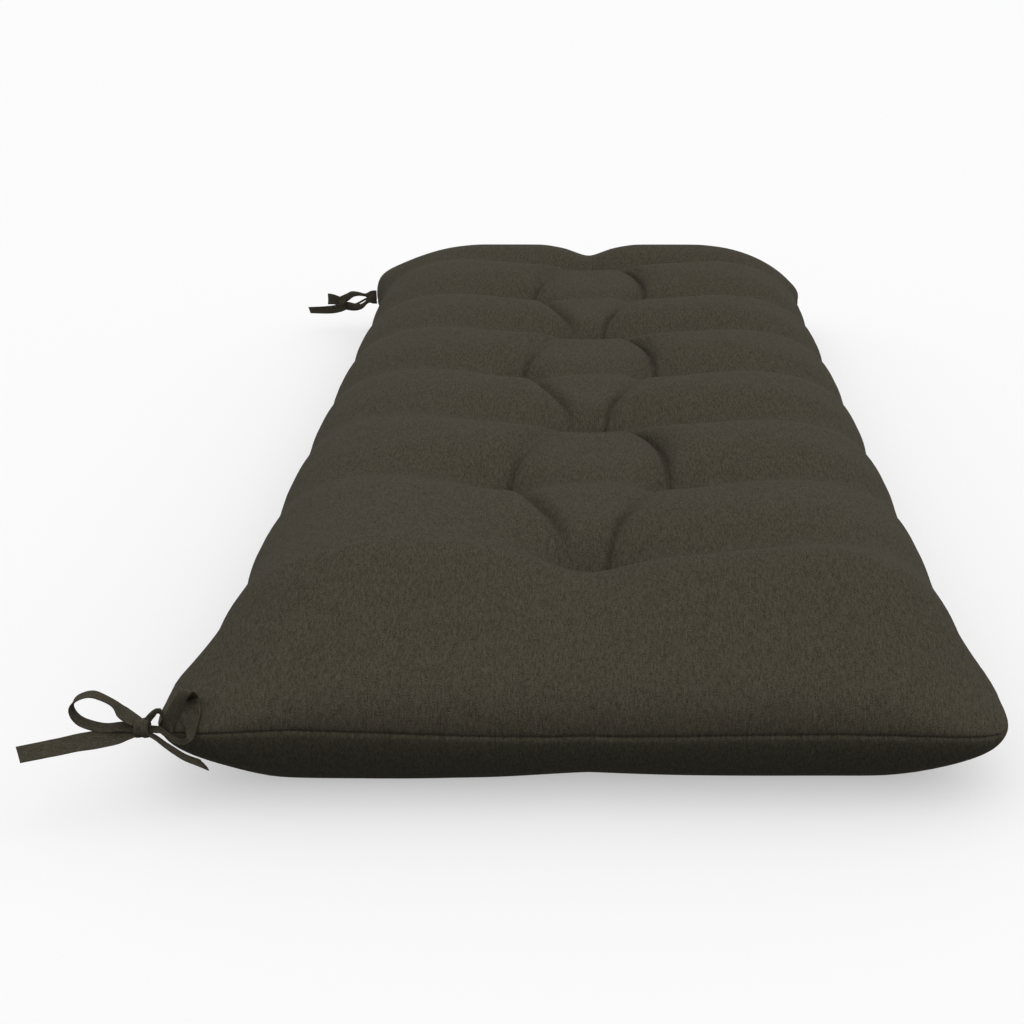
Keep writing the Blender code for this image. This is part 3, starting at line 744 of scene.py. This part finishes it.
# %% [markdown]
# ## The bows
# Each tie is a narrow tape, sewn into the corner of the cover. The near one has two loops
# and two free ends, and one loop lies over the corner. The far one has a folded loop, one
# free end and three strands that run into the corner. Tape is stiff across but bends along
# its length, so each strand is a grid rolled into a flat tube and laid along a path. A
# curve object could do it too, but its twist is harder to hold where the tape turns over.

# %% Paths of the near bow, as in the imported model
NEAR_KNOT = (-0.2615, -0.6120, 0.0620)

# x, y, z, tilt of the tape's width over the floor in degrees, share of the width
NEAR_LOOP = (
    (-0.2600, -0.6120, 0.0630, 8, 0.50),
    (-0.2680, -0.6105, 0.0664, 8, 0.95),
    (-0.2735, -0.6095, 0.0708, 8, 1.00),
    (-0.2785, -0.6088, 0.0760, 6, 0.55),
    (-0.2895, -0.6080, 0.0812, 2, 0.66),
    (-0.2990, -0.6075, 0.0785, 0, 0.74),
    (-0.3030, -0.6070, 0.0718, 0, 0.76),
    (-0.2980, -0.6080, 0.0645, 4, 0.78),
    (-0.2860, -0.6090, 0.0610, 8, 0.72),
    (-0.2730, -0.6110, 0.0628, 8, 0.72),
    (-0.2600, -0.6120, 0.0615, 8, 0.50),
)
NEAR_LONG_END = (
    (-0.2600, -0.6120, 0.0610, 20, 0.50),
    (-0.2690, -0.6135, 0.0594, 28, 0.85),
    (-0.2790, -0.6150, 0.0574, 31, 1.00),
    (-0.3040, -0.6200, 0.0544, 31, 0.95),
    (-0.3315, -0.6250, 0.0506, 31, 0.92),
)
NEAR_SHORT_END = (
    (-0.2620, -0.6120, 0.0605, -5, 0.40),
    (-0.2545, -0.6125, 0.0566, -5, 0.42),
    (-0.2480, -0.6110, 0.0500, -5, 0.48),
    (-0.2400, -0.6062, 0.0404, -5, 0.55),
    (-0.2305, -0.6012, 0.0325, -5, 0.62),
)
NEAR_LEAD = (
    (-0.2610, -0.6120, 0.0625, 120, 0.42),
    (-0.2562, -0.6100, 0.0680, 125, 0.55),
    (-0.2526, -0.6075, 0.0698, 135, 0.50),
    (-0.2506, -0.6040, 0.0630, 150, 0.50),
)
# the same strap standing over the corner: x, y, z, width's direction, share of it
NEAR_RISE = (
    (-0.2514, -0.6000, 0.0536, -0.60, -0.35, 0.70, 0.74),
    (-0.2481, -0.5990, 0.0597, -0.50, -0.60, 0.60, 0.90),
    (-0.2444, -0.5960, 0.0668, -0.48, -0.64, 0.60, 0.88),
    (-0.2413, -0.5930, 0.0732, -0.52, -0.60, 0.58, 0.70),
    (-0.2399, -0.5890, 0.0749, -0.80, -0.35, 0.40, 0.58),
    (-0.2394, -0.5840, 0.0695, -0.95, -0.20, 0.10, 0.80),
)
# coming down on the cover: x, y on its rectangle, clearance, share of the width
NEAR_DOWN = (
    (-0.2292, -0.5770, 0.0040, 1.00),
    (-0.2276, -0.5890, 0.0016, 1.00),
    (-0.2275, -0.5985, 0.0022, 0.60),
)
# and back to the knot under the seam, as for the rise
NEAR_RETURN = (
    (-0.2368, -0.6040, 0.0504, -0.50, 0.20, 0.80, 0.30),
    (-0.2416, -0.6045, 0.0487, -0.30, 0.05, 0.95, 0.30),
    (-0.2462, -0.6065, 0.0517, -0.36, 0.00, 0.93, 0.30),
    (-0.2502, -0.6100, 0.0575, -0.48, 0.00, 0.88, 0.32),
    (-0.2536, -0.6120, 0.0612, -0.50, 0.00, 0.87, 0.36),
    (-0.2620, -0.6120, 0.0615, -0.50, 0.00, 0.87, 0.42),
)
print("near bow's knot is", NEAR_KNOT[2], "m over the floor")

# %% Paths of the far bow
FAR_KNOT = (-0.3030, 0.5675, 0.0384)

# columns as for the near bow's loop
FAR_LOOP = (
    (-0.3002, 0.5652, 0.0383, 90, 0.78),
    (-0.3072, 0.5638, 0.0418, 88, 0.86),
    (-0.3137, 0.5625, 0.0443, 86, 0.94),
    (-0.3181, 0.5637, 0.0446, 80, 1.00),
    (-0.3203, 0.5667, 0.0437, 80, 1.02),
    (-0.3191, 0.5697, 0.0427, 82, 1.00),
    (-0.3119, 0.5708, 0.0412, 88, 0.88),
    (-0.3008, 0.5700, 0.0378, 90, 0.76),
)
FAR_LONG_END = (
    (-0.2988, 0.5632, 0.0356, 90, 0.66),
    (-0.3061, 0.5614, 0.0336, 88, 0.76),
    (-0.3159, 0.5605, 0.0320, 86, 0.76),
    (-0.3292, 0.5592, 0.0317, 86, 0.68),
    (-0.3433, 0.5585, 0.0317, 86, 0.60),
)
FAR_UPPER = (
    (-0.3066, 0.5685, 0.0419, 90, 0.60),
    (-0.2983, 0.5676, 0.0453, 80, 0.70),
    (-0.2916, 0.5650, 0.0498, 78, 0.60),
    (-0.2834, 0.5638, 0.0507, 82, 0.40),
    (-0.2753, 0.5624, 0.0496, 88, 0.30),
    (-0.2702, 0.5606, 0.0495, 90, 0.62),
    (-0.2651, 0.5596, 0.0503, 90, 0.84),
    (-0.2600, 0.5590, 0.0504, 90, 0.88),
)
FAR_LOWER = (
    (-0.3066, 0.5668, 0.0373, 90, 0.66),
    (-0.2967, 0.5655, 0.0351, 88, 0.80),
    (-0.2877, 0.5628, 0.0344, 84, 0.70),
    (-0.2801, 0.5610, 0.0357, 78, 0.50),
    (-0.2734, 0.5592, 0.0410, 80, 0.34),
    (-0.2694, 0.5578, 0.0444, 88, 0.60),
    (-0.2650, 0.5566, 0.0455, 90, 0.84),
    (-0.2598, 0.5560, 0.0459, 90, 0.88),
)
FAR_MIDDLE = (
    (-0.2916, 0.5645, 0.0356, 80, 0.26),
    (-0.2852, 0.5640, 0.0385, 70, 0.22),
    (-0.2788, 0.5628, 0.0420, 70, 0.20),
    (-0.2723, 0.5612, 0.0456, 75, 0.20),
    (-0.2671, 0.5598, 0.0471, 90, 0.30),
)

print("far bow's knot is", FAR_KNOT[2], "m over the floor")

# %% Bring the near bow's other loop down on the cover


def tilted(table):
    """A table with a tilt -> rows of x, y, z, the width's direction, share of the width."""
    rows = []
    for x, y, z, tilt, share in table:
        angle = math.radians(tilt)
        rows.append((x, y, z, 0.0, math.cos(angle), math.sin(angle), share))
    return rows


def cover_point(x, y):
    """A place on the top panel, and the way straight out of it."""
    def at(u, v):
        u, v = np.array(u), np.array(v)
        return np.array([*plan(u, v), top_height(u, v)], dtype=float)
    step = 0.001
    out = np.cross(at(x + step, y) - at(x - step, y), at(x, y + step) - at(x, y - step))
    return at(x, y), out / np.linalg.norm(out)


def right_loop():
    """The bow's other loop: it stands over the near corner and comes down on the cover."""
    rows = tilted(NEAR_LEAD) + list(NEAR_RISE)
    spots, ways = [], []
    for x, y, clear, _ in NEAR_DOWN:
        spot, out = cover_point(x, y)
        spots.append(spot + out * clear)
        ways.append(out)
    for k, (*_, share) in enumerate(NEAR_DOWN):
        run = spots[min(k + 1, len(spots) - 1)] - spots[max(k - 1, 0)]
        wide = np.cross(run, ways[k])
        rows.append((*spots[k], *(wide / np.linalg.norm(wide)), share))
    return rows + list(NEAR_RETURN)


print("rows in the loop over the corner:", len(right_loop()))

# %% Smooth a path and hold the tape's width along it
RIBBON = 0.013          # width of the tape
STEP = 0.0012           # metres of tape from one ring of vertices to the next


def smooth_path(table):
    """Rows at even steps on a Catmull-Rom curve through the table's, and their length."""
    rows = np.array(table, dtype=float)
    steps = np.r_[0, np.cumsum(np.linalg.norm(np.diff(rows[:, :3], axis=0), axis=1))]
    rows = np.vstack([2 * rows[0] - rows[1], rows, 2 * rows[-1] - rows[-2]])
    path = []
    for s in np.linspace(0, steps[-1], round(steps[-1] / STEP)):
        k = min(int(np.searchsorted(steps, s, side="right")) - 1, len(steps) - 2)
        t = (s - steps[k]) / (steps[k + 1] - steps[k])
        a, b, c, d = rows[k:k + 4]
        square, cube = 2 * a - 5 * b + 4 * c - d, 3 * b - a - 3 * c + d
        path.append(0.5 * (2 * b + (c - a) * t + square * t ** 2 + cube * t ** 3))
    return np.array(path), steps[-1]


def unit(vector):
    return vector / np.linalg.norm(vector)


def tape_frames(path, slant):
    """At each row of a path: its place, half the tape's width as a vector, and its up."""
    frames = []
    for k, row in enumerate(path):
        run = unit(path[min(k + 1, len(path) - 1), :3] - path[max(k - 1, 0), :3])
        wide = unit(row[3:6] - run * run.dot(row[3:6]))
        half = wide * RIBBON * row[6] / 2
        if k == len(path) - 1:
            half = half + run * slant
        frames.append((row[:3], half, np.cross(run, wide)))
    return frames


print(f"the near bow's loop takes {smooth_path(tilted(NEAR_LOOP))[1]:.3f} m of tape")

# %% Roll a grid into a flat tube along each path
RING = 16               # quads round the tape
RIBBON_THICK = 0.0012
FLAT_SIDES = 0.6        # under 1 turns the ring's ellipse into a flat tape with round edges
CUP = 0.0007            # how far the tape's edges curl
CURL_SCALE = 90         # noise cells a metre along the tape, in which the curl changes
CURL_SEED = 900         # gives strands of different length their own curl
CLOSE_RING = 0.000001   # the grid's two sides meet within this


def rounded(wave):
    """A sine or cosine pushed towards 1 or -1."""
    return math.copysign(abs(wave) ** FLAT_SIDES, wave)


def add_strand(bm, table, slant=0.0):
    """One strand of tape. Its far end is cut at a slant."""
    path, length = smooth_path(table)
    frames = tape_frames(path, slant)
    last = len(path) - 1
    made = bmesh.ops.create_grid(bm, x_segments=RING, y_segments=last, size=1)["verts"]
    place = {}
    for vert in made:
        turn = math.pi * (vert.co.x + 1)
        k = round((vert.co.y + 1) / 2 * last)
        c, r = rounded(math.cos(turn)), rounded(math.sin(turn))
        spot, half, up = frames[k]
        change = noise.noise(Vector((k * STEP * CURL_SCALE, length * CURL_SEED, 0)))
        curl = CUP * c * c * (1 + change)
        vert.co = spot + c * half + up * (r * RIBBON_THICK / 2 - curl)
        place[vert] = (c * RIBBON / 2, length * k / last)
    map_cloth(bm, place)
    bmesh.ops.remove_doubles(bm, verts=made, dist=CLOSE_RING)
    rims = [edge for edge in bm.edges if edge.is_boundary]
    bmesh.ops.holes_fill(bm, edges=rims, sides=0)
    return length


print(RING, "quads round a tape", RIBBON, "m wide and", RIBBON_THICK, "m thick")

# %% [markdown]
# ## The knots
# Where a bow's strands meet, its tape is wrapped round them once and drawn tight, so a short
# pleated band shows. One more strand could wind round the bundle, but so tight a turn would
# pinch its tube. Here the band's section is drawn once and spun a full turn round the tie's
# long axis, and a little noise pleats it.

# %% Wrap the knot
KNOT_RADIUS = 0.0052
KNOT_LENGTH = 0.0085
WRAP_STEPS = 40         # quads round the knot
PLEAT = 0.05            # share of the radius that the wrap's pleats rise and fall
PLEAT_SCALE = 500       # noise cells a metre along the knot

# share of the knot's length from its middle, share of its radius over it: the band's section
WRAP_SECTION = (
    (-0.46, -0.45), (-0.50, -0.15), (-0.44, 0.10), (-0.20, 0.16), (0.00, 0.05),
    (0.20, 0.16), (0.44, 0.10), (0.50, -0.15), (0.46, -0.45),
)


def add_knot(bm, centre):
    """The wrap round the strands: a band's section, spun round the X axis."""
    before = set(bm.verts)
    section = [bm.verts.new((share * KNOT_LENGTH, 0, KNOT_RADIUS * (1 + rise)))
               for share, rise in WRAP_SECTION]
    edges = [bm.edges.new(pair) for pair in zip(section, section[1:] + section[:1])]
    bmesh.ops.spin(bm, geom=section + edges, cent=(0, 0, 0), axis=(1, 0, 0),
                   angle=2 * math.pi, steps=WRAP_STEPS, use_merge=True)
    made = [vert for vert in bm.verts if vert not in before]
    place = {}
    for vert in made:
        turn = math.atan2(vert.co.y, vert.co.z)
        place[vert] = (vert.co.x, turn * KNOT_RADIUS)
        fold = Vector((vert.co.x * PLEAT_SCALE, math.cos(turn), math.sin(turn)))
        pleat = PLEAT * noise.noise(fold)
        vert.co.y *= 1 + pleat
        vert.co.z *= 1 + pleat
    map_cloth(bm, place)
    bmesh.ops.translate(bm, verts=made, vec=centre)


print(f"the wrap takes {2 * math.pi * KNOT_RADIUS:.3f} m of tape")

# %% Tie the two bows
SLANT = 0.0012          # a cut end's lead over its other corner, as half of it
POINTED = 0.004         # the same for the near bow's short end, which is cut the other way


def make_bow(name, node, centre, strands):
    """All strands and the knot of one bow as one piece, declared to the frame."""
    bm = new_bmesh()
    length = sum(add_strand(bm, *strand) for strand in strands)
    add_knot(bm, centre)
    bow = as_object(name, bm)
    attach(bow, "root")
    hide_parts(node)
    print(name, f"{length:.3f} m of tape,", len(bow.data.polygons), "faces")
    return bow


front_bow = make_bow("front_bow", "front_tie", NEAR_KNOT, (
    (tilted(NEAR_LOOP),),
    (tilted(NEAR_LONG_END), SLANT),
    (tilted(NEAR_SHORT_END), -POINTED),
    (right_loop(),),
))
back_bow = make_bow("back_bow", "back_tie", FAR_KNOT, (
    (tilted(FAR_LOOP),),
    (tilted(FAR_LONG_END), SLANT),
    (tilted(FAR_UPPER),),
    (tilted(FAR_LOWER),),
    (tilted(FAR_MIDDLE),),
))

# %% [markdown]
# ## The cloth
# The cloth is a plain weave spun from dark and lighter fibres, so every thread has its own
# grey and changes along its length. One node group makes that from the cloth's own flat
# coordinates: it counts threads both ways, lets each pass over and under the other, and
# gives each a streaky shade. Both the cover and the tape use it, each with its own values.

# %% Start the weave's node group
WEAVE_INPUTS = ("Thread", "Warp streak", "Weft streak")

# metres from thread to thread, noise cells along a warp and a weft thread for each crossing
COVER_WEAVE = (0.0009, 0.22, 0.9)
TAPE_WEAVE = (0.0007, 0.22, 0.9)


def socket(group, name, kind, way):
    return group.interface.new_socket(name, in_out=way, socket_type=f"NodeSocket{kind}")


weave = bpy.data.node_groups.new("fleck weave", "ShaderNodeTree")
socket(weave, "Cloth", "Vector", "INPUT")
for name, value in zip(WEAVE_INPUTS, COVER_WEAVE):
    socket(weave, name, "Float", "INPUT").default_value = value
socket(weave, "Shade", "Float", "OUTPUT")
socket(weave, "Height", "Float", "OUTPUT")
print("weave group with", len(weave.interface.items_tree), "sockets")

# %% Count the threads both ways


def reckon(tree, operation, *values):
    """A Math node; each value is a number or the output of another node."""
    node = tree.nodes.new("ShaderNodeMath")
    node.operation = operation
    for slot, value in zip(node.inputs, values):
        if isinstance(value, (int, float)):
            slot.default_value = value
        else:
            tree.links.new(value, slot)
    return node.outputs[0]


inside, outside = weave.nodes.new("NodeGroupInput"), weave.nodes.new("NodeGroupOutput")
parts = weave.nodes.new("ShaderNodeSeparateXYZ")
weave.links.new(inside.outputs["Cloth"], parts.inputs["Vector"])
across_cloth = reckon(weave, "DIVIDE", parts.outputs["X"], inside.outputs["Thread"])
along_cloth = reckon(weave, "DIVIDE", parts.outputs["Y"], inside.outputs["Thread"])
column = reckon(weave, "FLOOR", across_cloth)
row = reckon(weave, "FLOOR", along_cloth)
print(f"{2 * HALF_W / COVER_WEAVE[0]:.0f} warp threads across the cover")

# %% Let them pass over and under each other


def thread_back(tree, place):
    """A thread's round back: 0 at its sides and 1 along its middle."""
    turn = reckon(tree, "MULTIPLY", place, math.pi)
    return reckon(tree, "ABSOLUTE", reckon(tree, "SINE", turn))


def ride(tree, place, number, swing):
    """How high a thread rides where it crosses the others, from 0 to 1."""
    crossing = reckon(tree, "ADD", reckon(tree, "SUBTRACT", place, 0.5), number)
    wave = reckon(tree, "COSINE", reckon(tree, "MULTIPLY", crossing, math.pi))
    return reckon(tree, "MULTIPLY_ADD", wave, swing, 0.5)


warp_ride = ride(weave, along_cloth, column, 0.5)
weft_ride = ride(weave, across_cloth, row, -0.5)
warp = reckon(weave, "MULTIPLY", thread_back(weave, across_cloth), warp_ride)
weft = reckon(weave, "MULTIPLY", thread_back(weave, along_cloth), weft_ride)
weave.links.new(reckon(weave, "MAXIMUM", warp, weft), outside.inputs["Height"])
print("over and under with", len(weave.nodes), "nodes")

# %% Give each thread its own streaky shade
THREAD_JUMP = 13.7      # noise cells from one thread to the next, so that each has its own
STREAK_DETAIL = 2.0
WARP_SEED, WEFT_SEED = 2.3, 7.9


def streaks(tree, number, place, stretch, seed):
    """A shade for each numbered thread that also changes along it."""
    spot = tree.nodes.new("ShaderNodeCombineXYZ")
    tree.links.new(reckon(tree, "MULTIPLY", number, THREAD_JUMP), spot.inputs["X"])
    tree.links.new(reckon(tree, "MULTIPLY", place, stretch), spot.inputs["Y"])
    spot.inputs["Z"].default_value = seed
    made = tree.nodes.new("ShaderNodeTexNoise")
    made.inputs["Scale"].default_value = 1.0
    made.inputs["Detail"].default_value = STREAK_DETAIL
    tree.links.new(spot.outputs["Vector"], made.inputs["Vector"])
    return made.outputs["Fac"]


warp_streak, weft_streak = inside.outputs["Warp streak"], inside.outputs["Weft streak"]
warp_shade = streaks(weave, column, along_cloth, warp_streak, WARP_SEED)
weft_shade = streaks(weave, row, across_cloth, weft_streak, WEFT_SEED)
top_thread = weave.nodes.new("ShaderNodeMix")
weave.links.new(reckon(weave, "GREATER_THAN", warp, weft), top_thread.inputs["Factor"])
weave.links.new(weft_shade, top_thread.inputs["A"])
weave.links.new(warp_shade, top_thread.inputs["B"])
weave.links.new(top_thread.outputs["Result"], outside.inputs["Shade"])
print("weave group with", len(weave.nodes), "nodes")

# %% Dye and finish the cloth
DARK_FIBRE = (0.032, 0.0285, 0.0195, 1.0)
LIGHT_FIBRE = (0.086, 0.0765, 0.0565, 1.0)
DARKEST, LIGHTEST = 0.30, 0.72          # shades at which a thread has only one of them
THREAD_RELIEF = 0.5     # share of the bump that shows
THREAD_HEIGHT = 0.0003
ROUGHNESS = 0.9
SHEEN = 0.05            # the little that the fibres mirror


def cloth(name, values):
    """A cloth of the shared weave, with values for its own threads."""
    made = bpy.data.materials.new(name)
    made.use_nodes = True
    tree = made.node_tree
    surface = tree.nodes["Principled BSDF"]
    pattern = tree.nodes.new("ShaderNodeUVMap")
    pattern.uv_map = "cloth"
    threads = tree.nodes.new("ShaderNodeGroup")
    threads.node_tree = weave
    for entry, value in zip(WEAVE_INPUTS, values):
        threads.inputs[entry].default_value = value
    tree.links.new(pattern.outputs["UV"], threads.inputs["Cloth"])
    fibres = tree.nodes.new("ShaderNodeValToRGB")
    dark, light = fibres.color_ramp.elements
    dark.position, dark.color = DARKEST, DARK_FIBRE
    light.position, light.color = LIGHTEST, LIGHT_FIBRE
    tree.links.new(threads.outputs["Shade"], fibres.inputs["Fac"])
    tree.links.new(fibres.outputs["Color"], surface.inputs["Base Color"])
    relief = tree.nodes.new("ShaderNodeBump")
    relief.inputs["Strength"].default_value = THREAD_RELIEF
    relief.inputs["Distance"].default_value = THREAD_HEIGHT
    tree.links.new(threads.outputs["Height"], relief.inputs["Height"])
    tree.links.new(relief.outputs["Normal"], surface.inputs["Normal"])
    surface.inputs["Roughness"].default_value = ROUGHNESS
    surface.inputs["Specular IOR Level"].default_value = SHEEN
    return made


cover.data.materials.clear()
cover.data.materials.append(cloth("dark fleck cloth", COVER_WEAVE))
tape_cloth = cloth("dark fleck tape", TAPE_WEAVE)
for bow in (front_bow, back_bow):
    bow.data.materials.append(tape_cloth)
print("materials:", [m.name for m in bpy.data.materials if m.users])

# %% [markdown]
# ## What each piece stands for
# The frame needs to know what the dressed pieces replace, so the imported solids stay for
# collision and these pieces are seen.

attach(cover, "root")
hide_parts("cushion")
print("pieces:", [piece.name for piece in (cover, front_bow, back_bow)])
